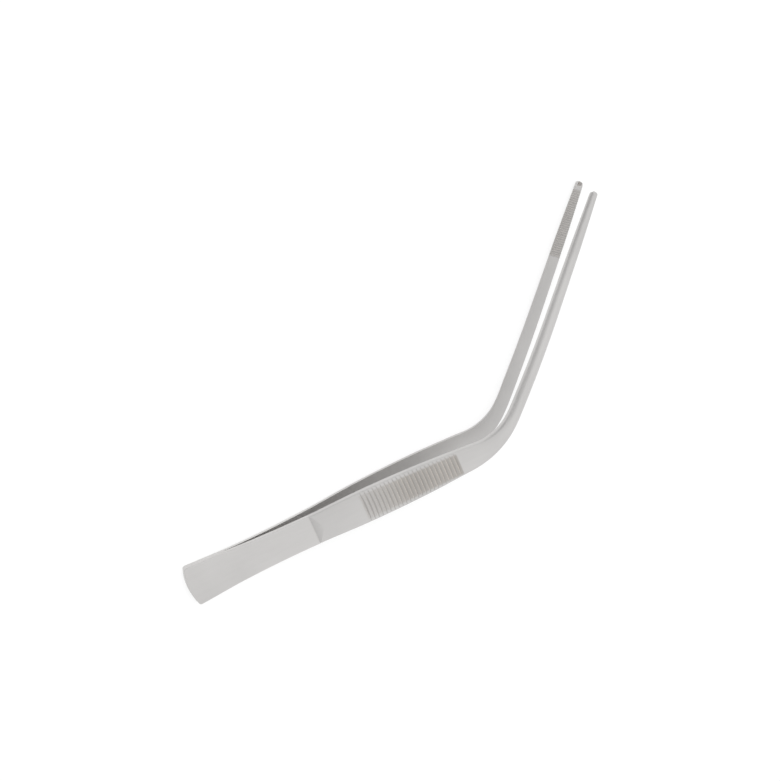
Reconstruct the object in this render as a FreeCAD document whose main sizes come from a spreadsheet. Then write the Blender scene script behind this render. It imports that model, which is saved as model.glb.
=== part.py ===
# Angled thumb forceps in stainless steel, lying on its side as it comes to rest.
# Two forged arms are welded face to face at the butt and spring apart towards the tips.
# Each arm runs: flared butt, flat ground spring strip, step, crowned handle with a grooved grip,
# edgewise bend, slender half-round shank, and a jaw with cross serrations and tissue teeth.
# Lengths are measured along the middle of the arm, from the butt to the tip.

import FreeCAD, Part
import itertools
import math
import os
import Sketcher

doc = FreeCAD.newDocument("AngledThumbForceps")
sheet = doc.addObject("Spreadsheet::Sheet", "Sizes")

driving = {
    # Butt and spring strip
    "butt_width": 10.9,
    "butt_end_radius": 14.0,
    "butt_corner_radius": 0.8,
    "weld_length": 12.5,
    "weld_bend_radius": 40.0,
    "strip_length": 23.7,
    "strip_thickness": 1.35,
    "waist_width": 8.25,
    "edge_break": 0.15,
    # Handle and grip
    "step_height": 0.08,
    "step_radius": 12.0,
    "plain_length": 14.2,
    "grip_length": 28.2,
    "neck_length": 3.8,
    "grip_start_width": 8.95,
    "grip_middle_width": 8.6,
    "grip_end_width": 7.0,
    "neck_width": 6.4,
    "groove_pitch": 1.15,
    "groove_width": 0.98,
    "groove_depth": 0.28,
    # How far the arms spring apart
    "splay_angle": 4.255,
    "splay_length": 58.8,
    "ease_length": 56.7,
    # Bend, shank and jaw
    "bend_radius": 19.9,
    "bend_angle": 44.4,
    "sweep_length": 28.0,
    "sweep_angle": 3.5,
    "shank_length": 41.4,
    "shank_width": 3.68,
    "sweep_width": 3.25,
    "jaw_length": 20.8,
    "jaw_width": 3.0,
    "tip_width": 2.05,
    "tip_nose_radius": 1.06,
    "tip_crown_radius": 0.7,
    # Thickness, straight edge height and shoulder radius of the cross-sections
    "handle_thickness": 1.75,
    "handle_edge": 1.05,
    "handle_shoulder": 0.5,
    "shank_thickness": 1.6,
    "shank_edge": 0.15,
    "shank_shoulder": 1.3,
    "tip_thickness": 1.0,
    "tip_edge": 0.15,
    "tip_shoulder": 0.6,
    # Jaw serrations and interlocking teeth
    "serration_pitch": 0.6,
    "serration_width": 0.48,
    "serration_depth": 0.13,
    "tooth_land": 2.2,
    "tooth_length": 1.1,
    "tooth_height": 0.45,
    "tooth_spacing": 1.2,
    "tooth_clearance": 0.06,
}
for row, (alias, size) in enumerate(driving.items(), start=1):
    sheet.set("A%d" % row, alias)
    sheet.set("B%d" % row, str(size))
    sheet.setAlias("B%d" % row, alias)
doc.recompute()

margin = 2.0  # how far cutting outlines reach past the metal
close = 0.001  # lengths that differ by less count as equal
waistShare = 0.85  # where the strip is narrowest, as a share of its length
widthPower = 1.5  # the bend narrows fastest at its start, and the jaw at its end

# Places along the arm that follow from the driving sizes
path = doc.addObject("App::FeaturePython", "Path")
derived = {
    "step": "Sizes.weld_length + Sizes.strip_length",
    "waist": "Sizes.weld_length + Sizes.strip_length * %g" % waistShare,
    "gripStart": "Path.step + Sizes.plain_length",
    "gripEnd": "Path.gripStart + Sizes.grip_length",
    "bendStart": "Path.gripEnd + Sizes.neck_length",
    "bendEnd": "Path.bendStart + Sizes.bend_radius * Sizes.bend_angle * pi / 180",
    "sweepEnd": "Path.bendEnd + Sizes.sweep_length",
    "jawStart": "Path.bendEnd + Sizes.shank_length",
    "tip": "Path.jawStart + Sizes.jaw_length",
    "slope": "tan(Sizes.splay_angle * 1deg)",
    "handleTop": "Sizes.handle_thickness * cos(Sizes.splay_angle * 1deg)",
    "stepFoot": "Sizes.strip_thickness + Sizes.step_height",
    "stepRun": "sqrt(Sizes.step_radius ^ 2 - (Sizes.step_radius - Path.handleTop + Path.stepFoot) ^ 2)",
    "easeStart": "Sizes.weld_length + Sizes.splay_length",
    "jawGap": "Path.slope * (Sizes.splay_length + Sizes.ease_length / 2)",
    "bendEndX": "Path.bendStart + Sizes.bend_radius * sin(Sizes.bend_angle * 1deg)",
    "bendEndY": "Sizes.bend_radius * (1 - cos(Sizes.bend_angle * 1deg))",
    "sweepRadius": "Sizes.sweep_length / (Sizes.sweep_angle * pi / 180)",
    "jawTurn": "Sizes.bend_angle + Sizes.sweep_angle",
    "sweepEndX": "Path.bendEndX + Path.sweepRadius * (sin(Path.jawTurn * 1deg)"
                 " - sin(Sizes.bend_angle * 1deg))",
    "sweepEndY": "Path.bendEndY + Path.sweepRadius * (cos(Sizes.bend_angle * 1deg)"
                 " - cos(Path.jawTurn * 1deg))",
}
for name, formula in derived.items():
    path.addProperty("App::PropertyFloat", name)
    path.setExpression(name, formula)
doc.recompute()


def value(formula):
    """Number that a formula of the sheet gives now."""
    result = sheet.evalExpression(formula)
    return float(getattr(result, "Value", result))


# A spot on the arm is four formulas: its place in plan, its heading, and half the gap between the arms.
def gapAt(along):
    eased = "min(max(%s - Path.easeStart; 0); Sizes.ease_length)" % along
    run = "min(%s; Path.easeStart) - Sizes.weld_length" % along
    return "Path.slope * (%s + %s - %s ^ 2 / (2 * Sizes.ease_length))" % (run, eased, eased)


def onHandle(along):
    return along, "0", "0", gapAt(along)


def onBend(share):
    turn = "Sizes.bend_angle * %g" % share
    x = "Path.bendStart + Sizes.bend_radius * sin(%s * 1deg)" % turn
    y = "Sizes.bend_radius * (1 - cos(%s * 1deg))" % turn
    along = "(Path.bendStart + (Path.bendEnd - Path.bendStart) * %g)" % share
    return x, y, turn, gapAt(along)


def onSweep(share):
    turn = "(Sizes.bend_angle + Sizes.sweep_angle * %g)" % share
    x = "Path.bendEndX + Path.sweepRadius * (sin(%s * 1deg) - sin(Sizes.bend_angle * 1deg))" % turn
    y = "Path.bendEndY + Path.sweepRadius * (cos(Sizes.bend_angle * 1deg) - cos(%s * 1deg))" % turn
    return x, y, turn, gapAt("(Path.bendEnd + Sizes.sweep_length * %g)" % share)


def onJaw(along):
    x = "Path.sweepEndX + (%s - Path.sweepEnd) * cos(Path.jawTurn * 1deg)" % along
    y = "Path.sweepEndY + (%s - Path.sweepEnd) * sin(Path.jawTurn * 1deg)" % along
    return x, y, "Path.jawTurn", gapAt(along)


def blend(first, last, share):
    return "%s + (%s - %s) * (%s)" % (first, last, first, share)


def originPlane(body, role):
    return [feature for feature in body.Origin.OriginFeatures if feature.Role == role][0]


def sketchAt(body, name, plane, base, axis, angle):
    """Sketch on one of the body's planes, moved by three formulas and turned by one."""
    sketch = body.newObject("Sketcher::SketchObject", name)
    sketch.AttachmentSupport = [(originPlane(body, plane), "")]
    sketch.MapMode = "FlatFace"
    place = FreeCAD.Vector(*[value(formula) for formula in base])
    sketch.AttachmentOffset = FreeCAD.Placement(place, FreeCAD.Rotation(axis, value(angle)))
    for letter, formula in zip("xyz", base):
        sketch.setExpression("AttachmentOffset.Base." + letter, formula)
    if angle != "0":
        sketch.setExpression("AttachmentOffset.Rotation.Angle", angle)
    return sketch


def acrossArm(body, name, spot, side):
    """Sketch square to the arm, its origin in the middle of the inner face."""
    x, y, turn, gap = spot
    base = (y, "%d * (%s)" % (side, gap), x)
    return sketchAt(body, name, "YZ_Plane", base, FreeCAD.Vector(0, 1, 0), turn)


def alongArm(body, name, spot, side):
    """Upright sketch along the arm, its origin on the inner face."""
    x, y, turn, gap = spot
    base = (x, "%d * (%s)" % (side, gap), "-(%s)" % y)
    return sketchAt(body, name, "XZ_Plane", base, FreeCAD.Vector(0, 1, 0), turn)


def hold(sketch, kind, *what, size=None):
    """Add one constraint, bound to its formula where it has a size."""
    if size is None:
        sketch.addConstraint(Sketcher.Constraint(kind, *what))
        return
    index = sketch.addConstraint(Sketcher.Constraint(kind, *what, value(size)))
    sketch.setExpression("Constraints[%d]" % index, size)


def line(x1, y1, x2, y2):
    return Part.LineSegment(FreeCAD.Vector(x1, y1, 0), FreeCAD.Vector(x2, y2, 0))


def arc(x, y, radius, first, last):
    circle = Part.Circle(FreeCAD.Vector(x, y, 0), FreeCAD.Vector(0, 0, 1), radius)
    return Part.ArcOfCircle(circle, first, last)


def polygon(sketch, corners):
    """Closed outline whose corners are pairs of formulas."""
    points = [(value(across), value(up)) for across, up in corners]
    count = len(points)
    for index in range(count):
        sketch.addGeometry(line(*points[index], *points[(index + 1) % count]))
    for index, (across, up) in enumerate(corners):
        hold(sketch, "Coincident", index, 2, (index + 1) % count, 1)
        hold(sketch, "DistanceX", -1, 1, index, 1, size=across)
        hold(sketch, "DistanceY", -1, 1, index, 1, size=up)


def pocket(body, name, sketch, reach):
    """Cut a sketch to both sides of its plane and make sure that it takes metal away."""
    before = body.Shape.Volume
    cut = body.newObject("PartDesign::Pocket", name)
    cut.Profile = sketch
    cut.SideType = "Symmetric"
    cut.Type = "Length"
    cut.setExpression("Length", reach)
    doc.recompute()
    if body.Shape.Volume >= before:
        raise RuntimeError(name + " cuts nothing")
    return cut


def repeat(body, name, feature, sketch, pitch, count):
    """Row of copies of a cut along its sketch's level axis."""
    row = body.newObject("PartDesign::LinearPattern", name)
    row.Originals = [feature]
    row.Direction = (sketch, ["H_Axis"])
    row.setExpression("Length", "%s * (%s - 1)" % (pitch, count))
    row.setExpression("Occurrences", count)
    row.Refine = False
    body.Tip = row
    doc.recompute()
    return row


# Butt and spring strip: bent in side view, then trimmed to its flared plan
def springStrip(body, side):
    thick = value("Sizes.strip_thickness")
    bend = value("Sizes.weld_bend_radius")
    splay = math.radians(value("Sizes.splay_angle"))
    end = value("Path.step")
    lift = value("Path.step - Sizes.weld_length") * math.tan(splay)
    start = value("Sizes.weld_length") - bend * math.tan(splay / 2)
    inner = (start + bend * math.sin(splay), side * bend * (1 - math.cos(splay)))
    outer = (start + (bend - thick) * math.sin(splay), side * (bend - (bend - thick) * math.cos(splay)))
    turn = (1.5 * math.pi, 1.5 * math.pi + splay) if side > 0 else (0.5 * math.pi - splay, 0.5 * math.pi)
    profile = sketchAt(body, "StripProfile", "XZ_Plane", ("0", "0", "0"), FreeCAD.Vector(0, 0, 1), "0")
    top = side * (lift + thick / math.cos(splay))
    for shape in (line(-margin / 2, 0, start, 0),
                  arc(start, side * bend, bend, *turn),
                  line(*inner, end, side * lift),
                  line(end, side * lift, end, top),
                  line(end, top, *outer),
                  arc(start, side * bend, bend - thick, *turn),
                  line(start, side * thick, -margin / 2, side * thick),
                  line(-margin / 2, side * thick, -margin / 2, 0)):
        profile.addGeometry(shape)
    near, far = (1, 2) if side > 0 else (2, 1)
    hold(profile, "Tangent", 0, 2, 1, near)
    hold(profile, "Tangent", 1, far, 2, 1)
    hold(profile, "Coincident", 2, 2, 3, 1)
    hold(profile, "Coincident", 3, 2, 4, 1)
    hold(profile, "Tangent", 4, 2, 5, far)
    hold(profile, "Tangent", 5, near, 6, 1)
    hold(profile, "Coincident", 6, 2, 7, 1)
    hold(profile, "Coincident", 7, 2, 0, 1)
    hold(profile, "Coincident", 1, 3, 5, 3)
    hold(profile, "Horizontal", 0)
    hold(profile, "PointOnObject", 0, 1, -1)
    hold(profile, "Horizontal", 6)
    hold(profile, "Vertical", 3)
    hold(profile, "Vertical", 7)
    hold(profile, "Parallel", 2, 4)
    hold(profile, "DistanceX", 0, 1, -1, 1, size="%g" % (margin / 2))
    hold(profile, "DistanceX", -1, 1, 2, 2, size="Path.step")
    hold(profile, "DistanceX", -1, 1, 0, 2,
         size="Sizes.weld_length - Sizes.weld_bend_radius * tan(Sizes.splay_angle * 0.5deg)")
    hold(profile, "DistanceY", *((-1, 1, 2, 2) if side > 0 else (2, 2, -1, 1)),
         size="Sizes.strip_length * Path.slope")
    hold(profile, "Distance", 7, size="Sizes.strip_thickness")
    hold(profile, "Radius", 1, size="Sizes.weld_bend_radius")
    strip = body.newObject("PartDesign::Pad", "Strip")
    strip.Profile = profile
    strip.SideType = "Symmetric"
    strip.setExpression("Length", "Sizes.butt_width + %g" % margin)
    doc.recompute()

    endRadius = value("Sizes.butt_end_radius")
    corner = value("Sizes.butt_corner_radius")
    half = value("Sizes.butt_width") / 2
    waist = value("Sizes.waist_width") / 2
    flare = value("Sizes.weld_length")
    waistAt = value("Path.waist")
    cornerY = half - corner
    cornerX = endRadius - math.sqrt((endRadius - corner) ** 2 - cornerY ** 2)
    endAngle = math.pi - math.asin(cornerY / (endRadius - corner))
    taper = (half - waist) / (flare - cornerX + (waistAt - flare) / 2)
    hollow = (waistAt - flare) / taper
    plan = sketchAt(body, "StripPlan", "XY_Plane", ("0", "0", "0"), FreeCAD.Vector(0, 0, 1), "0")
    for shape in (arc(endRadius, 0, endRadius, endAngle, math.pi),
                  arc(cornerX, cornerY, corner, math.pi / 2, endAngle),
                  line(cornerX, half, flare, half - taper * (flare - cornerX)),
                  arc(waistAt, waist + hollow, hollow, 1.5 * math.pi - math.asin(taper), 1.5 * math.pi),
                  line(waistAt, waist, end + margin, waist),
                  line(end + margin, waist, end + margin, 2 * half),
                  line(end + margin, 2 * half, -margin, 2 * half),
                  line(-margin, 2 * half, -margin, 0),
                  line(-margin, 0, 0, 0)):
        plan.addGeometry(shape)
    hold(plan, "Coincident", 0, 2, -1, 1)
    hold(plan, "PointOnObject", 0, 3, -1)
    hold(plan, "Tangent", 0, 1, 1, 2)
    hold(plan, "Tangent", 1, 1, 2, 1)
    hold(plan, "Tangent", 2, 2, 3, 1)
    hold(plan, "Tangent", 3, 2, 4, 1)
    for index in (4, 5, 6, 7):
        hold(plan, "Coincident", index, 2, index + 1, 1)
    hold(plan, "Coincident", 8, 2, -1, 1)
    for index in (4, 6, 8):
        hold(plan, "Horizontal", index)
    for index in (5, 7):
        hold(plan, "Vertical", index)
    hold(plan, "Radius", 0, size="Sizes.butt_end_radius")
    hold(plan, "Radius", 1, size="Sizes.butt_corner_radius")
    hold(plan, "DistanceY", -1, 1, 2, 1, size="Sizes.butt_width / 2")
    hold(plan, "DistanceX", -1, 1, 2, 2, size="Sizes.weld_length")
    hold(plan, "DistanceX", -1, 1, 4, 1, size="Path.waist")
    hold(plan, "DistanceY", -1, 1, 4, 1, size="Sizes.waist_width / 2")
    hold(plan, "DistanceX", -1, 1, 4, 2, size="Path.step + %g" % margin)
    hold(plan, "DistanceY", -1, 1, 5, 2, size="Sizes.butt_width")
    hold(plan, "DistanceX", 7, 1, -1, 1, size="%g" % margin)
    trim = pocket(body, "StripTrim", plan, "Path.step")
    mirrored = body.newObject("PartDesign::Mirrored", "StripTrimOther")
    mirrored.Originals = [trim]
    mirrored.MirrorPlane = (originPlane(body, "XZ_Plane"), [""])
    body.Tip = mirrored
    doc.recompute()


# The outer outline of the butt and strip is broken by hand grinding
def breakEdges(body, side):
    strip = body.Tip
    end = value("Path.step") - close
    names = []
    for index, edge in enumerate(strip.Shape.Edges, start=1):
        tilts = sorted(face.normalAt(*face.Surface.parameter(edge.CenterOfMass)).z * side
                       for face in strip.Shape.ancestorsOfType(edge, Part.Face))
        if abs(tilts[0]) < 0.5 < tilts[1] and edge.CenterOfMass.x < end:
            names.append("Edge%d" % index)
    chamfer = body.newObject("PartDesign::Chamfer", "BrokenEdges")
    chamfer.Base = (strip, names)
    chamfer.setExpression("Size", "Sizes.edge_break")
    body.Tip = chamfer
    doc.recompute()
    if chamfer.Shape.Volume >= strip.Shape.Volume:
        raise RuntimeError("BrokenEdges cuts nothing")


# Cross-section of the forged arm: flat inside, straight edges, round shoulders and a crowned outside
def crossSection(body, name, spot, side, width, thick, edge, shoulder):
    sketch = acrossArm(body, name, spot, side)
    half = value(width) / 2
    wall = value(edge)
    radius = value(shoulder)
    inset = half - radius
    rise = value(thick) - wall
    crownFormula = ("((({0}) / 2 - ({3})) ^ 2 + (({1}) - ({2})) ^ 2 - ({3}) ^ 2)"
                    " / (2 * (({1}) - ({2}) - ({3})))").format(width, thick, edge, shoulder)
    crown = value(crownFormula)
    lean = math.asin(inset / (crown - radius))
    quarter = math.pi / 2
    centre = side * (value(thick) - crown)
    if side > 0:
        angles = ((0, quarter - lean), (quarter - lean, quarter + lean), (quarter + lean, 2 * quarter))
    else:
        angles = ((lean - quarter, 0), (-quarter - lean, lean - quarter), (-2 * quarter, -quarter - lean))
    for shape in (line(-half, 0, half, 0),
                  line(half, 0, half, side * wall),
                  arc(inset, side * wall, radius, *angles[0]),
                  arc(0, centre, crown, *angles[1]),
                  arc(-inset, side * wall, radius, *angles[2]),
                  line(-half, side * wall, -half, 0)):
        sketch.addGeometry(shape)
    first, last = (1, 2) if side > 0 else (2, 1)
    hold(sketch, "Coincident", 0, 2, 1, 1)
    hold(sketch, "Tangent", 1, 2, 2, first)
    hold(sketch, "Tangent", 2, last, 3, first)
    hold(sketch, "Tangent", 3, last, 4, first)
    hold(sketch, "Tangent", 4, last, 5, 1)
    hold(sketch, "Coincident", 5, 2, 0, 1)
    hold(sketch, "Horizontal", 0)
    hold(sketch, "Vertical", 1)
    hold(sketch, "Vertical", 5)
    hold(sketch, "Symmetric", 0, 1, 0, 2, -1, 1)
    hold(sketch, "Distance", 0, size=width)
    hold(sketch, "Distance", 1, size=edge)
    hold(sketch, "Distance", 5, size=edge)
    hold(sketch, "Radius", 2, size=shoulder)
    hold(sketch, "Radius", 4, size=shoulder)
    hold(sketch, "Radius", 3, size=crownFormula)
    return sketch


def forgedArm(body, side):
    """One loft from the step to the tip, through the handle, the bend, the shank and the jaw."""
    stations = []

    def add(spot, width, before, after, share):
        sizes = [blend("Sizes.%s_%s" % (before, size), "Sizes.%s_%s" % (after, size), share)
                 for size in ("thickness", "edge", "shoulder")]
        name = "Section%02d" % (len(stations) + 1)
        stations.append(crossSection(body, name, spot, side, width, *sizes))

    for share in (0, 0.5):
        width = blend("Sizes.waist_width", "Sizes.grip_start_width", "%g" % share)
        add(onHandle("(Path.step + Sizes.plain_length * %g)" % share), width, "handle", "handle", "0")
    for share in (0, 0.25, 0.5, 0.75, 1):
        weights = ((1 - share) * (1 - 2 * share), 4 * share * (1 - share), share * (2 * share - 1))
        width = ("Sizes.grip_start_width * %g + Sizes.grip_middle_width * %g"
                 " + Sizes.grip_end_width * %g" % weights)
        add(onHandle("(Path.gripStart + Sizes.grip_length * %g)" % share), width, "handle", "handle", "0")
    for share in (0, 0.25, 0.5, 0.75, 1):
        narrowing = (1 - share) ** widthPower
        width = blend("Sizes.shank_width", "Sizes.neck_width", "%g" % narrowing)
        add(onBend(share), width, "handle", "shank", "%g" % share)
    toTip = "(%s - Path.bendEnd) / (Path.tip - Path.bendEnd)"
    for share in (0.2, 0.4, 0.6, 0.8, 1):
        width = blend("Sizes.shank_width", "Sizes.sweep_width", "%g" % share)
        along = "(Path.bendEnd + Sizes.sweep_length * %g)" % share
        add(onSweep(share), width, "shank", "tip", toTip % along)
    for share in (0.5, 1):
        width = blend("Sizes.sweep_width", "Sizes.jaw_width", "%g" % share)
        along = "(Path.sweepEnd + (Path.jawStart - Path.sweepEnd) * %g)" % share
        add(onJaw(along), width, "shank", "tip", toTip % along)
    for share in (0.25, 0.5, 0.75, 1):
        width = blend("Sizes.jaw_width", "Sizes.tip_width", "%g" % share ** widthPower)
        along = "(Path.jawStart + Sizes.jaw_length * %g)" % share
        add(onJaw(along), width, "shank", "tip", toTip % along)

    loft = body.newObject("PartDesign::AdditiveLoft", "Forging")
    loft.Profile = stations[0]
    loft.Sections = [(station, [""]) for station in stations[1:]]
    loft.Refine = False
    doc.recompute()


# Upright sketch on the handle's slope, its origin on the inner face
def onSlope(body, name, along, side):
    x, y, turn, gap = onHandle(along)
    base = (x, "%d * (%s)" % (side, gap), "0")
    return sketchAt(body, name, "XZ_Plane", base, FreeCAD.Vector(0, 0, 1), "%d * Sizes.splay_angle" % side)


# The forging rises from the strip by a low foot and a long round
def stepRound(body, side):
    sketch = onSlope(body, "StepProfile", "Path.step", side)
    radius = value("Sizes.step_radius")
    foot = side * value("Path.stepFoot")
    top = side * value("Path.handleTop")
    run = value("Path.stepRun")
    lean = math.acos(run / radius)
    angles = (math.pi / 2, math.pi - lean) if side > 0 else (lean - math.pi, -math.pi / 2)
    for shape in (line(-margin, foot, 0, foot),
                  arc(run, top - side * radius, radius, *angles),
                  line(run, top, run, top + side * margin),
                  line(run, top + side * margin, -margin, top + side * margin),
                  line(-margin, top + side * margin, -margin, foot)):
        sketch.addGeometry(shape)
    low, high = (2, 1) if side > 0 else (1, 2)
    hold(sketch, "Coincident", 0, 2, 1, low)
    hold(sketch, "Coincident", 1, high, 2, 1)
    for index in (2, 3, 4):
        hold(sketch, "Coincident", index, 2, (index + 1) % 5, 1)
    for index in (0, 3):
        hold(sketch, "Horizontal", index)
    for index in (2, 4):
        hold(sketch, "Vertical", index)
    hold(sketch, "PointOnObject", 0, 2, -2)
    hold(sketch, "Vertical", 1, high, 1, 3)
    hold(sketch, "Radius", 1, size="Sizes.step_radius")
    hold(sketch, "DistanceX", 0, 1, -1, 1, size="%g" % margin)
    foot, rise, centre = ((-1, 1, 0, 2), (2, 1, 2, 2), (1, 3, -1, 1))
    if side < 0:
        foot, rise, centre = foot[2:] + foot[:2], rise[2:] + rise[:2], centre[2:] + centre[:2]
    hold(sketch, "DistanceY", *foot, size="Path.stepFoot")
    hold(sketch, "DistanceY", *rise, size="%g" % margin)
    hold(sketch, "DistanceY", *centre, size="Sizes.step_radius - Path.handleTop")
    pocket(body, "StepRound", sketch, "Sizes.butt_width * 2")


# Row of vee grooves cut square across the arm to one depth, so that they run out at the edges
def grooves(body, name, sketch, level, inward, sizes, count):
    pitch, width, depth = sizes
    above = 1.0  # the cutter stands this many depths above the surface
    half = "%s / 2 * %g" % (width, 1 + above)
    top = "%s + %d * %s * %g" % (level, -inward, depth, above)
    bottom = "%s + %d * %s" % (level, inward, depth)
    middle = "%s / 2" % width
    polygon(sketch, ((middle, bottom),
                     ("%s + %s" % (middle, half), top),
                     ("%s - %s" % (middle, half), top)))
    cut = pocket(body, name, sketch, "Sizes.butt_width * 2")
    repeat(body, name + "Row", cut, sketch, pitch, count)


def gripGrooves(body, side):
    sketch = onSlope(body, "GripGroove", "Path.gripStart", side)
    level = "%d * Path.handleTop" % side
    count = "floor(Sizes.grip_length / Sizes.groove_pitch)"
    sizes = ("Sizes.groove_pitch", "Sizes.groove_width", "Sizes.groove_depth")
    grooves(body, "GripGrooves", sketch, level, -side, sizes, count)


def jawSerrations(body, side):
    sketch = alongArm(body, "Serration", onJaw("Path.jawStart"), side)
    count = "floor((Sizes.jaw_length - Sizes.tooth_land) / Sizes.serration_pitch)"
    sizes = ("Sizes.serration_pitch", "Sizes.serration_width", "Sizes.serration_depth")
    grooves(body, "Serrations", sketch, "0", side, sizes, count)


# Tissue teeth: the lower jaw has two and the upper one, which enters between them
def tissueTeeth(body, side):
    back = onJaw("(Path.tip - Sizes.tooth_length / 2)")
    halfTooth = "Sizes.tooth_spacing / 4"
    pair = ["Sizes.tooth_spacing / 2", "-Sizes.tooth_spacing / 2"]
    own, others = (["0"], pair) if side > 0 else (pair, ["0"])
    root = 0.1  # the teeth reach this far into the jaw
    for index, place in enumerate(own):
        sketch = acrossArm(body, "ToothShape%d" % index, back, side)
        corners = (("%s - %s" % (place, halfTooth), "%g" % (side * root)),
                   ("%s + %s" % (place, halfTooth), "%g" % (side * root)),
                   ("%s + %s" % (place, halfTooth), "0"),
                   (place, "%d * Sizes.tooth_height" % -side),
                   ("%s - %s" % (place, halfTooth), "0"))
        polygon(sketch, corners)
        tooth = body.newObject("PartDesign::Pad", "Tooth%d" % index)
        tooth.Profile = sketch
        tooth.SideType = "Symmetric"
        tooth.setExpression("Length", "Sizes.tooth_length")
        tooth.Refine = False
        doc.recompute()
    for index, place in enumerate(others):
        sketch = acrossArm(body, "ToothSeatShape%d" % index, back, side)
        deep = "%d * (Sizes.tooth_height + Sizes.tooth_clearance)" % side
        wide = "(%s + Sizes.tooth_clearance)" % halfTooth
        above = "%d * Sizes.tooth_clearance" % -side
        polygon(sketch, ((place, deep),
                         ("%s + %s" % (place, wide), above),
                         ("%s - %s" % (place, wide), above)))
        pocket(body, "ToothSeat%d" % index, sketch, "Sizes.tooth_length + 2 * Sizes.tooth_clearance")


# The end of the jaw: round in plan, and its crown falls away to the tip
def roundTip(body, side):
    x, y, turn, gap = onJaw("Path.tip")
    radius = value("Sizes.tip_nose_radius")
    beside = value("Sizes.tip_width * 2")
    nose = sketchAt(body, "NosePlan", "XY_Plane", (x, y, "0"), FreeCAD.Vector(0, 0, 1), turn)
    for shape in (arc(-radius, 0, radius, -math.pi / 2, math.pi / 2),
                  line(-radius, radius, -radius, beside),
                  line(-radius, beside, margin, beside),
                  line(margin, beside, margin, -beside),
                  line(margin, -beside, -radius, -beside),
                  line(-radius, -beside, -radius, -radius)):
        nose.addGeometry(shape)
    hold(nose, "Coincident", 0, 2, 1, 1)
    for index in (1, 2, 3, 4):
        hold(nose, "Coincident", index, 2, index + 1, 1)
    hold(nose, "Coincident", 5, 2, 0, 1)
    for index in (1, 3, 5):
        hold(nose, "Vertical", index)
    for index in (2, 4):
        hold(nose, "Horizontal", index)
    hold(nose, "Radius", 0, size="Sizes.tip_nose_radius")
    hold(nose, "PointOnObject", 0, 3, -1)
    hold(nose, "DistanceX", 0, 3, -1, 1, size="Sizes.tip_nose_radius")
    hold(nose, "Vertical", 0, 1, 0, 3)
    hold(nose, "Vertical", 0, 2, 0, 3)
    hold(nose, "DistanceY", -1, 1, 1, 2, size="Sizes.tip_width * 2")
    hold(nose, "DistanceY", 4, 1, -1, 1, size="Sizes.tip_width * 2")
    hold(nose, "DistanceX", -1, 1, 3, 1, size="%g" % margin)
    pocket(body, "Nose", nose, "Path.step")

    thick = value("Sizes.tip_thickness")
    radius = value("Sizes.tip_crown_radius")
    crown = alongArm(body, "CrownProfile", onJaw("Path.tip"), side)
    low = side * (thick - radius)
    turn = (0, math.pi / 2) if side > 0 else (-math.pi / 2, 0)
    for shape in (arc(-radius, low, radius, *turn),
                  line(-radius, side * thick, -radius, side * (thick + margin)),
                  line(-radius, side * (thick + margin), margin, side * (thick + margin)),
                  line(margin, side * (thick + margin), margin, low),
                  line(margin, low, 0, low)):
        crown.addGeometry(shape)
    first, last = (1, 2) if side > 0 else (2, 1)
    hold(crown, "Coincident", 0, last, 1, 1)
    for index in (1, 2, 3):
        hold(crown, "Coincident", index, 2, index + 1, 1)
    hold(crown, "Coincident", 4, 2, 0, first)
    for index in (1, 3):
        hold(crown, "Vertical", index)
    for index in (2, 4):
        hold(crown, "Horizontal", index)
    hold(crown, "Radius", 0, size="Sizes.tip_crown_radius")
    hold(crown, "DistanceX", 0, 3, -1, 1, size="Sizes.tip_crown_radius")
    low = "Sizes.tip_thickness - Sizes.tip_crown_radius"
    hold(crown, "DistanceY", *((-1, 1, 0, 3) if side > 0 else (0, 3, -1, 1)), size=low)
    hold(crown, "Vertical", 0, last, 0, 3)
    hold(crown, "Horizontal", 0, first, 0, 3)
    hold(crown, "DistanceX", -1, 1, 3, 1, size="%g" % margin)
    ends = (0, 3, 2, 1) if side > 0 else (2, 1, 0, 3)
    hold(crown, "DistanceY", *ends, size="Sizes.tip_crown_radius + %g" % margin)
    pocket(body, "TipCrown", crown, "Sizes.tip_width * 2")


def arm(label, side):
    body = doc.addObject("PartDesign::Body", label)
    body.Label = label
    springStrip(body, side)
    breakEdges(body, side)
    forgedArm(body, side)
    stepRound(body, side)
    tissueTeeth(body, side)
    roundTip(body, side)
    gripGrooves(body, side)
    jawSerrations(body, side)
    return body


arms = [arm("upper_arm", 1), arm("lower_arm", -1)]


# Resting place: the plane that carries the lower arm under the centre of mass
def outerPoint(spot, thickness):
    """Lowest point of the lower arm at a spot."""
    x, y, turn, gap = spot
    return FreeCAD.Vector(value(x), value(y), -value(gap) - value(thickness))


def contactPoints():
    """Outer points of the lower arm that can touch a table: butt corners and the crown line."""
    points = [FreeCAD.Vector(value("Sizes.butt_corner_radius"), across * value("Sizes.butt_width") / 2,
                             -value("Sizes.strip_thickness")) for across in (-1, 1)]
    for along in ("Path.step + Path.stepRun", "Path.gripStart", "Path.gripEnd"):
        points.append(outerPoint(onHandle("(%s)" % along), "Sizes.handle_thickness"))
    for share in (0, 0.25, 0.5, 0.75, 1):
        thickness = blend("Sizes.handle_thickness", "Sizes.shank_thickness", "%g" % share)
        points.append(outerPoint(onBend(share), thickness))
    for share in (0.2, 0.4, 0.6, 0.8, 1):
        toTip = "Sizes.sweep_length * %g / (Path.tip - Path.bendEnd)" % share
        thickness = blend("Sizes.shank_thickness", "Sizes.tip_thickness", toTip)
        points.append(outerPoint(onSweep(share), thickness))
    return points


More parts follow.
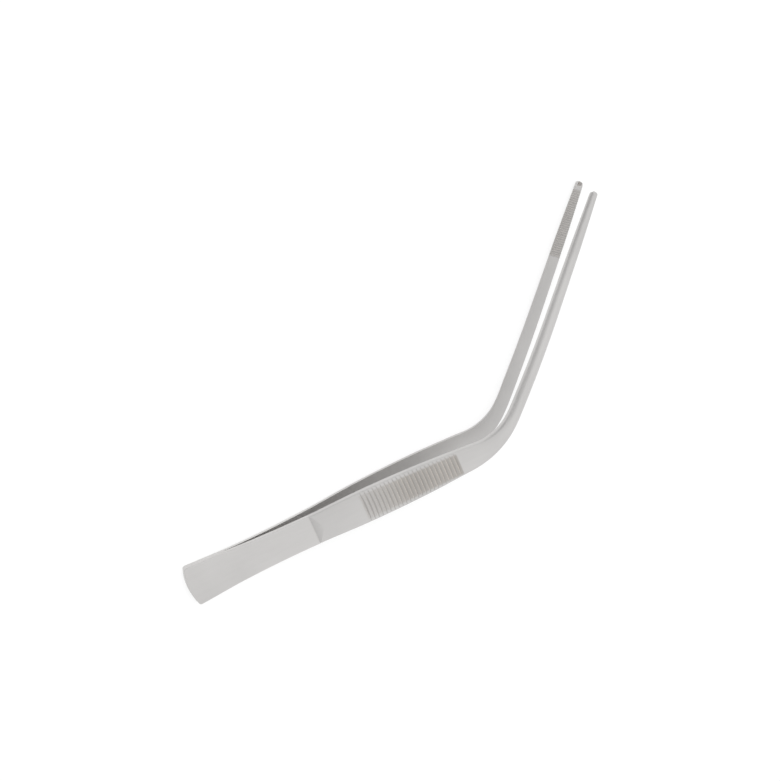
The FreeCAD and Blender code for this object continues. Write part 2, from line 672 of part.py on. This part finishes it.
def restingNormal(points, centre):
    """Upward normal of the highest plane under the centre that has every point on or above it."""
    best = None
    for first, second, third in itertools.combinations(points, 3):
        normal = (second - first).cross(third - first)
        if normal.Length < close * (second - first).Length:
            continue  # the three are in line
        normal.normalize()
        if normal.z < 0:
            normal = -normal
        if all((point - first).dot(normal) > -close / 1000 for point in points):
            height = first.z - ((centre - first).dot(normal) - (centre.z - first.z) * normal.z) / normal.z
            if best is None or height > best[0]:
                best = (height, normal)
    return best[1]


fineness = 0.02  # how close the points that give the extents are to the surface
blanks = [item.Shape.Solids[0] for item in doc.Objects if item.TypeId == "PartDesign::AdditiveLoft"]
centre = sum((blank.CenterOfMass for blank in blanks), FreeCAD.Vector()) / len(blanks)
level = FreeCAD.Rotation(restingNormal(contactPoints(), centre), FreeCAD.Vector(0, 0, 1))
both = Part.Compound([body.Shape for body in arms])
lying = [level.multVec(point) for point in both.tessellate(fineness)[0]]
spanX, spanY, spanZ = [(min(axis), max(axis)) for axis in zip(*lying)]
down = FreeCAD.Vector(-sum(spanX) / 2, -sum(spanY) / 2, -spanZ[0])
for body in arms:
    body.Placement = FreeCAD.Placement(down, level)
doc.recompute()

for item in doc.Objects:
    if "Invalid" in item.State or "Error" in item.State:
        raise RuntimeError(item.Name + " failed")
for body in arms:
    if body.Shape.isNull() or not body.Shape.isValid():
        raise RuntimeError(body.Label + " has no valid shape")

os.makedirs("parts", exist_ok=True)
for body in arms:
    body.Shape.exportStep("parts/%s.step" % body.Label)
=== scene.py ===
import math

import bpy
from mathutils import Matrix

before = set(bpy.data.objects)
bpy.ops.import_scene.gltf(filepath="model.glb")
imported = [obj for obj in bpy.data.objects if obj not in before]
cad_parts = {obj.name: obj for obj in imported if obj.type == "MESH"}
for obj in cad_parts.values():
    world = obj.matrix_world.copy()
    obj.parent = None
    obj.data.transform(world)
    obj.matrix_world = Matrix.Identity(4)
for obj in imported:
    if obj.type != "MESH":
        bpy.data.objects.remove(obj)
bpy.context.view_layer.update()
bpy.ops.object.select_all(action="DESELECT")
print("frame loaded:", ", ".join(sorted(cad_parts)))

# Camera, a metre out from the middle of the tool
camera = {
    "place": (-0.171891, 0.362789, 0.921600),   # metres
    "turn": (-15.4196, -18.0733, -22.9406),     # degrees
    "lens": 176.49,                             # mm, on a frame of 36 mm
    "nearest": 0.01,                            # metres, nothing nearer is drawn
}

bpy.ops.object.camera_add(location=camera["place"],
                          rotation=[math.radians(turn) for turn in camera["turn"]])
cameraObject = bpy.context.object
cameraObject.name = "camera"
cameraObject.data.lens = camera["lens"]
cameraObject.data.clip_start = camera["nearest"]
bpy.context.scene.camera = cameraObject
bpy.context.scene.view_settings.view_transform = "Standard"
print("camera set")

nodeSpacing = 190       # between the nodes in the editor


# Links an input to another node's output, or gives it a number or colour
def feed(tree, socket, value):
    if isinstance(value, bpy.types.NodeSocket):
        tree.links.new(value, socket)
    else:
        socket.default_value = value


# Adds a node in a grid place, with its settings and its named inputs
def addNode(tree, kind, across, down, settings=None, **inputs):
    node = tree.nodes.new(kind)
    node.location = (across * nodeSpacing, -down * nodeSpacing)
    for name, value in (settings or {}).items():
        setattr(node, name, value)
    for name, value in inputs.items():
        feed(tree, node.inputs[name], value)
    return node


def mathNode(tree, operation, values, across, down, clamp=False):
    node = addNode(tree, "ShaderNodeMath", across, down, {"operation": operation, "use_clamp": clamp})
    for socket, value in zip(node.inputs, values):
        feed(tree, socket, value)
    return node.outputs[0]


def vectorNode(tree, operation, values, across, down):
    node = addNode(tree, "ShaderNodeVectorMath", across, down, {"operation": operation})
    for socket, value in zip(node.inputs, values):
        feed(tree, socket, value)
    return node.outputs["Value" if operation == "DOT_PRODUCT" else "Vector"]


# Runs from low to high as the value goes from start to end
def rampNode(tree, value, start, end, across, down, low=0, high=1, soft=True):
    kind = "SMOOTHSTEP" if soft else "LINEAR"
    node = addNode(tree, "ShaderNodeMapRange", across, down, {"interpolation_type": kind}, **{
        "Value": value, "From Min": start, "From Max": end, "To Min": low, "To Max": high})
    return node.outputs[0]


# Empties the nodes of a new material or world
def emptyTree(owner):
    owner.use_nodes = True
    owner.node_tree.nodes.clear()
    return owner.node_tree


# A shader node group; an input that starts as None is a vector, and every output is a number
def newGroup(name, inputs, outputs):
    tree = bpy.data.node_groups.new(name, "ShaderNodeTree")
    for socket, value in inputs.items():
        kind = "NodeSocketVector" if value is None else "NodeSocketFloat"
        made = tree.interface.new_socket(socket, in_out="INPUT", socket_type=kind)
        if value is not None:
            made.default_value = value
    for socket in outputs:
        tree.interface.new_socket(socket, in_out="OUTPUT", socket_type="NodeSocketFloat")
    start = addNode(tree, "NodeGroupInput", -6, 0)
    end = addNode(tree, "NodeGroupOutput", 6, 0)
    return tree, start.outputs, end.inputs


# Places a group in a material and hands back its outputs
def placeGroup(tree, group, across, down, **inputs):
    node = addNode(tree, "ShaderNodeGroup", across, down, {"node_tree": group}, **inputs)
    return node.outputs


# Studio: white floor, a pale room with one dim side, and one big soft lamp
studio = {
    "floorSide": 8.0,                # metres
    "floorColor": 0.30,
    "floorGlow": 0.73,               # what the camera sees besides the floor's own light
    "floorEcho": 0.70,               # the same for what the metal mirrors
    "roomLight": 0.62,               # light that the room gives
    "roomTone": 0.98,                # what the metal sees of the room overhead
    "roomEdge": 0.90,                # the same at the horizon
    "roomRise": 0.90,                # height where the tone overhead is reached
    "dimTone": 0.57,                 # share of it that is left on the dim side
    "dimSide": (-0.95, 0.30, 0.05),  # direction of the dim side
    "dimStart": 0.22,                # how far towards the dim side the fall starts and ends
    "dimEnd": 0.60,
    "dimFoot": 0.45,                 # height above the horizon where the dim side is whole
    "lampPlace": (0.1, 0.75, 2.6),   # metres
    "lampSide": 2.4,
    "lampPower": 43,                 # watts
}


def makeFloor():
    bpy.ops.mesh.primitive_plane_add(size=studio["floorSide"])
    floor = bpy.context.object
    floor.name = "floor"
    material = bpy.data.materials.new("floorPaper")
    tree = emptyTree(material)
    path = addNode(tree, "ShaderNodeLightPath", -4, 1).outputs
    seen = mathNode(tree, "MULTIPLY", (path["Is Camera Ray"], studio["floorGlow"]), -3, 1)
    mirrored = mathNode(tree, "MULTIPLY", (path["Is Glossy Ray"], studio["floorEcho"]), -3, 2)
    strength = mathNode(tree, "ADD", (seen, mirrored), -2, 1)
    paper = addNode(tree, "ShaderNodeBsdfDiffuse", 0, 0, Color=(studio["floorColor"],) * 3 + (1,))
    glow = addNode(tree, "ShaderNodeEmission", 0, 1, Strength=strength)
    both = addNode(tree, "ShaderNodeAddShader", 1, 0)
    for socket, shader in zip(both.inputs, (paper, glow)):
        feed(tree, socket, shader.outputs[0])
    addNode(tree, "ShaderNodeOutputMaterial", 2, 0, Surface=both.outputs[0])
    floor.data.materials.append(material)


def makeRoom():
    world = bpy.data.worlds.new("room")
    bpy.context.scene.world = world
    tree = emptyTree(world)
    aim = addNode(tree, "ShaderNodeTexCoord", -6, 1).outputs["Generated"]
    height = addNode(tree, "ShaderNodeSeparateXYZ", -5, 2, Vector=aim).outputs["Z"]
    aside = vectorNode(tree, "DOT_PRODUCT", (aim, studio["dimSide"]), -5, 1)
    loss = rampNode(tree, aside, studio["dimStart"], studio["dimEnd"], -4, 1,
                    high=1 - studio["dimTone"])
    foot = rampNode(tree, height, 0, studio["dimFoot"], -4, 3)
    left = mathNode(tree, "SUBTRACT", (1, mathNode(tree, "MULTIPLY", (loss, foot), -3, 2)), -2, 2)
    climb = rampNode(tree, height, 0, studio["roomRise"], -4, 2,
                     low=studio["roomEdge"], high=studio["roomTone"])
    shown = mathNode(tree, "MULTIPLY", (left, climb), -1, 2)

    path = addNode(tree, "ShaderNodeLightPath", -4, -1).outputs
    mirrored = mathNode(tree, "MAXIMUM", (path["Is Glossy Ray"], path["Is Transmission Ray"]), -3, 0)
    around = addNode(tree, "ShaderNodeMix", -2, 0, Factor=mirrored, A=studio["roomLight"], B=shown)
    strength = mathNode(tree, "MAXIMUM", (path["Is Camera Ray"], around.outputs[0]), -1, 0)
    light = addNode(tree, "ShaderNodeBackground", 0, 0, Color=(1, 1, 1, 1), Strength=strength)
    addNode(tree, "ShaderNodeOutputWorld", 1, 0, Surface=light.outputs[0])


def makeLamp():
    bpy.ops.object.light_add(type="AREA", location=studio["lampPlace"])
    lamp = bpy.context.object
    lamp.name = "softLamp"
    lamp.data.energy = studio["lampPower"]
    lamp.data.size = studio["lampSide"]
    lamp.visible_glossy = False              # the metal sees the room, not a square panel
    lamp.rotation_euler = (-lamp.location).to_track_quat("-Z", "Y").to_euler()


makeFloor()
makeRoom()
makeLamp()
print("studio lit")

# Places on the arm that its finishes keep to, in metres
arm = {
    "bend": 0.020,                   # along x, where the brushing turns with the shank
    "bendWidth": 0.008,
    "shankTurn": 47.9,               # degrees
    "stripStart": -0.057,            # along x, the ground spring strip
    "stripRise": 0.012,              # its brightening comes in over this length
    "stripEnd": -0.0337,             # the step, on the outside
    "stripFade": 0.014,              # the inside has no step, so the brightening fades
    "gripEnds": (-0.0197, 0.0078),   # along x
    "gripMiddle": -0.0230,           # along y
    "gripHalf": (0.0035, 0.0029),    # half its width at both ends
    "gripSoft": 0.0004,              # border along its sides
    "gripFade": 0.012,               # the first grooves are the least matt
    "gripLeast": 0.35,               # share of it on the first one
    "jawEnds": (0.0462, 0.0648),     # along the shank
    "soft": 0.0002,                  # border at the ends of the grip and of the serrations
}

# Fine lines along the tool
brushLines = {
    "scale": 900.0,
    "stretch": 26.0,        # how much longer than wide a line is
    "detail": 4,
    "roughness": 0.6,
}


# Lines along the handle, turned with the shank after the bend
def brushingGroup():
    tree, given, wanted = newGroup("brushing", {
        "Vector": None, "Scale": brushLines["scale"], "Stretch": brushLines["stretch"]}, ["Lines"])
    x = addNode(tree, "ShaderNodeSeparateXYZ", -5, 2, Vector=given["Vector"]).outputs["X"]
    half = arm["bendWidth"] / 2
    bend = rampNode(tree, x, arm["bend"] - half, arm["bend"] + half, -4, 2)
    thin = mathNode(tree, "DIVIDE", (1, given["Stretch"]), -5, 1)
    squeeze = addNode(tree, "ShaderNodeCombineXYZ", -4, 1, X=thin, Y=1, Z=1)
    lines = []
    for row, turn in enumerate((0, -arm["shankTurn"])):
        turned = addNode(tree, "ShaderNodeVectorRotate", -3, row, {"rotation_type": "Z_AXIS"},
                         Vector=given["Vector"], Angle=math.radians(turn))
        along = vectorNode(tree, "MULTIPLY", (turned.outputs[0], squeeze.outputs[0]), -2, row)
        noise = addNode(tree, "ShaderNodeTexNoise", -1, row, Vector=along, Scale=given["Scale"],
                        Detail=brushLines["detail"], Roughness=brushLines["roughness"])
        lines.append(noise.outputs[0])
    mix = addNode(tree, "ShaderNodeMix", 2, 0, Factor=bend, A=lines[0], B=lines[1])
    feed(tree, wanted["Lines"], mix.outputs[0])
    return tree


# Slow changes of tone, as left by wiping and handling
wiping = {
    "scale": 38.0,
    "amount": 0.25,
    "detail": 3,
    "roughness": 0.5,
    "distortion": 0.6,
}


def smudgeGroup():
    tree, given, wanted = newGroup("smudges", {
        "Vector": None, "Scale": wiping["scale"], "Amount": wiping["amount"]}, ["Tone"])
    noise = addNode(tree, "ShaderNodeTexNoise", -3, 0, Vector=given["Vector"], Scale=given["Scale"],
                    Detail=wiping["detail"], Roughness=wiping["roughness"],
                    Distortion=wiping["distortion"])
    centred = mathNode(tree, "SUBTRACT", (noise.outputs[0], 0.5), -1, 0)
    feed(tree, wanted["Tone"], mathNode(tree, "MULTIPLY", (centred, given["Amount"]), 0, 0))
    return tree


# Edges that handling has polished
edgeWear = {
    "radius": 0.0002,       # metres
    "sharpness": 6.0,
    "samples": 6,
}


# 1 on the edges, 0 on open surface
def edgeGroup():
    tree, given, wanted = newGroup("edges", {
        "Radius": edgeWear["radius"], "Sharpness": edgeWear["sharpness"]}, ["Edge"])
    rounded = addNode(tree, "ShaderNodeBevel", -4, 0, {"samples": edgeWear["samples"]},
                      Radius=given["Radius"])
    surface = addNode(tree, "ShaderNodeNewGeometry", -4, 1)
    level = vectorNode(tree, "DOT_PRODUCT", (rounded.outputs[0], surface.outputs["Normal"]), -3, 0)
    turned = mathNode(tree, "SUBTRACT", (1, level), -2, 0)
    edge = mathNode(tree, "MULTIPLY", (turned, given["Sharpness"]), -1, 0, clamp=True)
    feed(tree, wanted["Edge"], edge)
    return tree


# Grooves and serrations that light hardly reaches
deepCuts = {
    "reach": 0.0005,        # metres
    "depth": 2.2,
    "samples": 12,
}


# 1 deep in the cuts, 0 on open surface
def creviceGroup():
    tree, given, wanted = newGroup("crevices", {
        "Reach": deepCuts["reach"], "Depth": deepCuts["depth"]}, ["Crevice"])
    hollow = addNode(tree, "ShaderNodeAmbientOcclusion", -4, 0,
                     {"samples": deepCuts["samples"], "only_local": True}, Distance=given["Reach"])
    shut = mathNode(tree, "SUBTRACT", (1, hollow.outputs["AO"]), -2, 0)
    crevice = mathNode(tree, "MULTIPLY", (shut, given["Depth"]), -1, 0, clamp=True)
    feed(tree, wanted["Crevice"], crevice)
    return tree


# Upward part of the normal where an arm's inner face starts, and where it is wholly inside
insideSlopes = (-0.5, -0.9)


# 1 on faces that look towards the other arm, 0 on the outside; Side is 1 for the upper arm
def insideGroup():
    tree, given, wanted = newGroup("inside", {"Side": 1.0}, ["Inside"])
    surface = addNode(tree, "ShaderNodeNewGeometry", -5, 0)
    up = addNode(tree, "ShaderNodeSeparateXYZ", -4, 0, Vector=surface.outputs["Normal"]).outputs["Z"]
    facing = mathNode(tree, "MULTIPLY", (up, given["Side"]), -3, 0)
    feed(tree, wanted["Inside"], rampNode(tree, facing, *insideSlopes, -1, 0))
    return tree


# 1 between two ends, with soft borders
def between(tree, value, ends, soft, across, down):
    rise = rampNode(tree, value, ends[0] - soft, ends[0] + soft, across, down)
    fall = rampNode(tree, value, ends[1] + soft, ends[1] - soft, across, down + 1)
    return mathNode(tree, "MULTIPLY", (rise, fall), across + 1, down)


# Fields of the arm: Grip is 1 on the outer grooves, Jaw on the inner serrations, Tip on the teeth,
# Shank past the bend and Strip on the ground spring strip
def fieldGroup():
    tree, given, wanted = newGroup("fields", {"Vector": None, "Inside": 0.0},
                                   ["Grip", "Jaw", "Tip", "Shank", "Strip"])
    split = addNode(tree, "ShaderNodeSeparateXYZ", -5, 0, Vector=given["Vector"])
    x, y = split.outputs["X"], split.outputs["Y"]

    first, last = arm["gripEnds"]
    lengthwise = between(tree, x, (first, last), arm["soft"], -3, 0)
    half = rampNode(tree, x, first, last, -4, 2, *arm["gripHalf"], soft=False)
    aside = mathNode(tree, "SUBTRACT", (y, arm["gripMiddle"]), -4, 3)
    spare = mathNode(tree, "SUBTRACT", (half, mathNode(tree, "ABSOLUTE", (aside,), -3, 3)), -2, 3)
    crosswise = rampNode(tree, spare, -arm["gripSoft"], arm["gripSoft"], -1, 3)
    fade = rampNode(tree, x, first, first + arm["gripFade"], 0, 2, low=arm["gripLeast"], soft=False)
    outside = mathNode(tree, "SUBTRACT", (1, given["Inside"]), 0, 1)
    grip = mathNode(tree, "MULTIPLY", (lengthwise, crosswise), 1, 0)
    grip = mathNode(tree, "MULTIPLY", (grip, fade), 2, 0)
    feed(tree, wanted["Grip"], mathNode(tree, "MULTIPLY", (grip, outside), 3, 0))

    turn = math.radians(arm["shankTurn"])
    sideways = mathNode(tree, "MULTIPLY", (y, math.sin(turn)), -4, 5)
    ahead = mathNode(tree, "MULTIPLY_ADD", (x, math.cos(turn), sideways), -3, 5)
    serrated = between(tree, ahead, arm["jawEnds"], arm["soft"], -2, 5)
    feed(tree, wanted["Jaw"], mathNode(tree, "MULTIPLY", (serrated, given["Inside"]), 1, 5))
    feed(tree, wanted["Tip"], mathNode(tree, "GREATER_THAN", (ahead, arm["jawEnds"][1]), 0, 6))
    feed(tree, wanted["Shank"], rampNode(tree, x, arm["bend"] - arm["bendWidth"], arm["bend"], -2, 7))

    stripStart, stripEnd, stripFade = arm["stripStart"], arm["stripEnd"], arm["stripFade"]
    begin = rampNode(tree, x, stripStart, stripStart + arm["stripRise"], -3, 8)
    step = mathNode(tree, "LESS_THAN", (x, stripEnd), -3, 9)
    slow = rampNode(tree, x, stripEnd + stripFade, stripEnd - stripFade, -3, 10)
    ending = addNode(tree, "ShaderNodeMix", -2, 9, Factor=given["Inside"], A=step, B=slow)
    feed(tree, wanted["Strip"], mathNode(tree, "MULTIPLY", (begin, ending.outputs[0]), -1, 8))
    return tree


brushing = brushingGroup()
smudges = smudgeGroup()
edges = edgeGroup()
crevices = creviceGroup()
inside = insideGroup()
fields = fieldGroup()
print("finish groups made")

# Satin steel, brushed along the arm and fine blasted
steel = {
    "tone": (0.645, 0.634, 0.625),
    "roughness": 0.43,
    "brushTone": 0.10,        # how far the brightness spreads from line to line
    "brushRough": 0.10,       # the same for the roughness
    "blastScale": 9000.0,
    "blastDetail": 2,
    "blastShare": 0.4,        # height of the grain beside that of the lines
    "bumpStrength": 0.35,
    "bumpHeight": 0.00001,    # metres
    "wornGain": 0.08,         # worn edges are brighter and smoother
    "wornPolish": 0.10,
    "insidePaintedShade": 0.065,      # painted shade on the shank's inner faces, which look towards the other arm
    "shankLoss": 0.030,       # the shank is left a little duller than the handle
    # painted shade that darkens the serrated inner faces of the jaws
    "jawPaintedShade": 0.07,
    "stripGain": 0.085,       # the spring strip is made brighter
    "cutPaintedLight": 0.75,          # painted light that lifts the shade deep in the cuts of the grip and the jaw
    "tipSeatPaintedLight": 0.40,          # share of that painted light in the tooth seats
    "mattRough": 0.26,        # added to the roughness of the grip and the serrations
    # brown tone for grime and painted shade, mixed in deep in the cuts, on the grip and on the
    # serrations
    "grimeAndShadeTone": (0.330, 0.280, 0.220),
    "cutGrimeAndShade": 0.15,         # share of the grime and painted shade tone deep in a cut
    "gripGrimeAndShade": 0.28,        # and all over the grip, grime with the painted shade of its grooves
    # the same over the serrations, grime with their painted shade
    "jawGrimeAndShade": 0.10,
}

# The lines start elsewhere on each arm, and the inner face of the upper one looks down
armSteels = {
    "upper_steel": {"shift": 0.0, "side": 1},
    "lower_steel": {"shift": 0.31, "side": -1},
}


def makeSteel(name, shift, side):
    material = bpy.data.materials.new(name + "_satin")
    tree = emptyTree(material)
    shader = addNode(tree, "ShaderNodeBsdfPrincipled", 5, 0, Metallic=1.0)
    addNode(tree, "ShaderNodeOutputMaterial", 7, 0, Surface=shader.outputs[0])

    place = addNode(tree, "ShaderNodeTexCoord", -6, 0).outputs["Object"]
    moved = addNode(tree, "ShaderNodeMapping", -5, 0, Vector=place, Location=(0, 0, shift)).outputs[0]
    lines = placeGroup(tree, brushing, -3, 0, Vector=moved)["Lines"]
    blast = addNode(tree, "ShaderNodeTexNoise", -3, 1, Vector=moved, Scale=steel["blastScale"],
                    Detail=steel["blastDetail"]).outputs[0]
    wiped = placeGroup(tree, smudges, -3, 2, Vector=moved)["Tone"]
    worn = placeGroup(tree, edges, -3, 3)["Edge"]
    hidden = placeGroup(tree, crevices, -3, 4)["Crevice"]
    inner = placeGroup(tree, inside, -4, 5, Side=side)["Inside"]
    field = placeGroup(tree, fields, -3, 5, Vector=place, Inside=inner)
    grip, jaw, shank = field["Grip"], field["Jaw"], field["Shank"]
    matt = mathNode(tree, "ADD", (grip, jaw), -2, 6)
    # Where painted light lifts the shade deep in the cuts: the grip, the serrations and, less, the
    # tooth seats
    cut = mathNode(tree, "MULTIPLY_ADD", (field["Tip"], steel["tipSeatPaintedLight"], matt), -1, 8)

    # Brightness: lines, wiping and wear, then what each place takes away or adds, among it painted
    # shade on the inner faces and serrations and painted light deep in the cuts
    dark = 1 - steel["brushTone"] / 2
    light = mathNode(tree, "MULTIPLY_ADD", (lines, steel["brushTone"], dark), -1, 0)
    light = mathNode(tree, "ADD", (light, wiped), 0, 0)
    light = mathNode(tree, "MULTIPLY_ADD", (worn, steel["wornGain"], light), 1, 0)
    changes = (
        (mathNode(tree, "MULTIPLY", (shank, inner), -1, 5), -steel["insidePaintedShade"]),
        (shank, -steel["shankLoss"]),
        (jaw, -steel["jawPaintedShade"]),
        (mathNode(tree, "MULTIPLY", (cut, hidden), 0, 9), steel["cutPaintedLight"]),
        (field["Strip"], steel["stripGain"]),
    )
    for row, (where, change) in enumerate(changes, start=5):
        factor = mathNode(tree, "MULTIPLY_ADD", (where, change, 1), 1, row)
        light = mathNode(tree, "MULTIPLY", (light, factor), 2, row)

    # Colour: the steel's tone, warmed and darkened by grime and painted shade in the cuts, on the
    # grip and on the serrations
    grimeAndShade = mathNode(tree, "MULTIPLY", (hidden, steel["cutGrimeAndShade"]), -1, 3)
    grimeAndShade = mathNode(tree, "MULTIPLY_ADD", (grip, steel["gripGrimeAndShade"], grimeAndShade), 0, 3)
    grimeAndShade = mathNode(tree, "MULTIPLY_ADD", (jaw, steel["jawGrimeAndShade"], grimeAndShade), 1, 3)
    grimedAndShaded = addNode(tree, "ShaderNodeMix", 2, 3, {"data_type": "RGBA"}, Factor=grimeAndShade)
    for socket, tone in zip(grimedAndShaded.inputs[6:8], (steel["tone"], steel["grimeAndShadeTone"])):
        feed(tree, socket, tone + (1,))     # inputs 6 and 7 are its colours, output 2 is their mix
    color = addNode(tree, "ShaderNodeVectorMath", 4, 0, {"operation": "SCALE"},
                    Vector=grimedAndShaded.outputs[2], Scale=light)
    feed(tree, shader.inputs["Base Color"], color.outputs[0])

    # Roughness: lines, polished edges, and the matt grip and serrations
    smooth = steel["roughness"] - steel["brushRough"] / 2
    rough =mathNode(tree, "MULTIPLY_ADD", (lines, steel["brushRough"], smooth), -1, 2)
    rough = mathNode(tree, "MULTIPLY_ADD", (worn, -steel["wornPolish"], rough), 0, 2)
    rough = mathNode(tree, "MULTIPLY_ADD", (matt, steel["mattRough"], rough), 1, 2)
    feed(tree, shader.inputs["Roughness"], rough)

    # Bump: the lines, with the blasted grain on them
    grain = mathNode(tree, "MULTIPLY_ADD", (blast, steel["blastShare"], lines), 0, 1)
    bump = addNode(tree, "ShaderNodeBump", 3, 1, Height=grain, Strength=steel["bumpStrength"],
                   Distance=steel["bumpHeight"])
    feed(tree, shader.inputs["Normal"], bump.outputs[0])
    return material


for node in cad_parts.values():
    for slot in node.material_slots:
        slot.material = makeSteel(slot.material.name, **armSteels[slot.material.name])
print("steel made")
